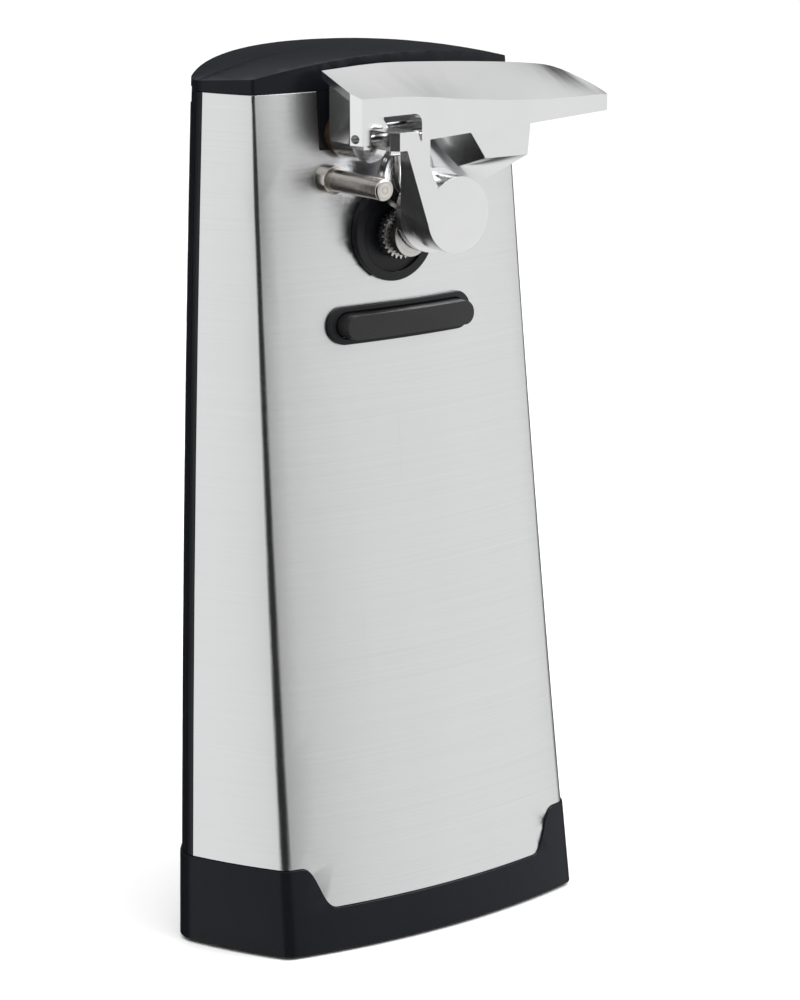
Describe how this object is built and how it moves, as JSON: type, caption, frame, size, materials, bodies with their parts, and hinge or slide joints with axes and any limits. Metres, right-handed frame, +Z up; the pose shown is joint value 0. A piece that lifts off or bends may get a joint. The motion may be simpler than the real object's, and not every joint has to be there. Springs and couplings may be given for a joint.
{
  "type": "electric can opener",
  "caption": "Upright electric can opener with a steel-wrapped tower, black base, chrome cutting lever, magnet arm, toothed drive wheel and geared motor.",
  "frame": {"origin": "middle of the whole object's footprint, on the surface that its four feet stand on", "axes": "+Z up; -Y is the front face with the cutting lever; +X is the side that the lever's tip points to"},
  "size_m": [0.1278, 0.0745, 0.245],
  "materials": {
    "black_plastic": "satin gloss black moulding",
    "housing_plastic": "fine textured black moulding",
    "inner_plastic": "plain black moulding",
    "rubber": "matt rubber",
    "bumper_plastic": "soft matt black",
    "brushed_wrap": "brushed across, horizontal grain",
    "polished_chrome": "polished plate",
    "cutter_steel": "ground steel",
    "drive_steel": "machined steel",
    "pin_steel": "turned steel",
    "screw_steel": "zinc plated",
    "plate_steel": "stamped sheet",
    "gear_plastic": "natural acetal",
    "pinion_brass": "cut brass",
    "bearing_bronze": "sintered bronze",
    "core_iron": "stacked laminations",
    "shaft_steel": "ground steel",
    "copper": "enamelled copper wire",
    "stone": "bonded abrasive",
    "magnet_ferrite": "ferrite",
    "switch_plastic": "plain moulding"
  },
  "bodies": {
    "root": {"base_collar": "black_plastic", "base_plate": "inner_plastic", "base_screws": "screw_steel", "bearing_strap": "plate_steel", "can_guide_pin": "pin_steel", "can_rest": "bumper_plastic", "can_rest_bezel": "housing_plastic", "coil_bobbin": "inner_plastic", "coil_winding": "copper", "cover_screws": "screw_steel", "drive_collar": "housing_plastic", "first_gear_post": "plate_steel", "foot_front_left": "rubber", "foot_front_right": "rubber", "foot_rear_left": "rubber", "foot_rear_right": "rubber", "frame_screws": "screw_steel", "front_bearing": "bearing_bronze", "front_housing": "housing_plastic", "gear_plate_front": "plate_steel", "gear_plate_rear": "plate_steel", "lever_bushing": "bearing_bronze", "motor_bolts": "screw_steel", "motor_spacers": "plate_steel", "plate_spacers": "plate_steel", "rear_bearing": "bearing_bronze", "rear_cover": "black_plastic", "second_gear_post": "plate_steel", "stator_core": "core_iron", "steel_wrap": "brushed_wrap", "switch_body": "inner_plastic", "top_cap": "black_plastic"},
    "lever_post": {"lever_post": "pin_steel", "switch_cam": "inner_plastic"},
    "lever": {"lever_handle": "polished_chrome", "cutter_holder": "polished_chrome", "holder_screw": "cutter_steel", "cutter_axle": "cutter_steel", "can_guide": "polished_chrome", "arm_hinge_pin": "cutter_steel"},
    "cutting_wheel": {"cutting_wheel": "cutter_steel"},
    "magnet_arm": {"magnet_arm": "polished_chrome", "magnet_yoke": "shaft_steel", "magnet": "magnet_ferrite"},
    "rotor": {"rotor": "core_iron", "rotor_shaft": "shaft_steel", "rotor_pinion": "pinion_brass", "sharpening_stone": "stone"},
    "first_gear": {"first_gear": "gear_plastic"},
    "second_gear": {"second_gear": "gear_plastic"},
    "drive": {"drive_gear": "gear_plastic", "drive_shaft": "drive_steel", "drive_wheel": "drive_steel"},
    "switch_plunger": {"switch_plunger": "switch_plastic"}
  },
  "joints": [
    {"name": "lever_hinge", "type": "hinge", "parent": "root", "child": "lever_post", "pos_m": [-0.018, -0.0151, 0.2236], "axis": [0, -1, 0], "range_deg": [0, 60]},
    {"name": "lever_release", "type": "slide", "parent": "lever_post", "child": "lever", "axis": [0, -1, 0], "range_m": [0, 0.03]},
    {"name": "cutting_wheel_spin", "type": "hinge", "parent": "lever", "child": "cutting_wheel", "pos_m": [-0.0028, -0.0209, 0.212], "axis": [0, 1, 0], "continuous": true},
    {"name": "magnet_arm_hinge", "type": "hinge", "parent": "lever", "child": "magnet_arm", "pos_m": [-0.0139, -0.0287, 0.2247], "axis": [-1, 0, 0], "range_deg": [0, 45]},
    {"name": "rotor_spin", "type": "hinge", "parent": "root", "child": "rotor", "pos_m": [0, 0.01, 0.21299], "axis": [0, 1, 0], "continuous": true},
    {"name": "first_gear_spin", "type": "hinge", "parent": "root", "child": "first_gear", "pos_m": [0.01778, 0.001, 0.20937], "axis": [0, 1, 0], "continuous": true},
    {"name": "second_gear_spin", "type": "hinge", "parent": "root", "child": "second_gear", "pos_m": [0.02146, -0.001, 0.1916], "axis": [0, 1, 0], "continuous": true},
    {"name": "drive_spin", "type": "hinge", "parent": "root", "child": "drive", "pos_m": [-0.0035, -0.005, 0.196], "axis": [0, 1, 0], "continuous": true},
    {"name": "switch_press", "type": "slide", "parent": "root", "child": "switch_plunger", "axis": [0, 0, 1], "range_m": [0, 0.0008], "stiffness_N_per_m": 200}
  ],
  "couplings": [
    {"joint": "first_gear_spin", "follows": "rotor_spin", "ratio": -0.2},
    {"joint": "second_gear_spin", "follows": "rotor_spin", "ratio": 0.05},
    {"joint": "drive_spin", "follows": "rotor_spin", "ratio": -0.015625}
  ]
}
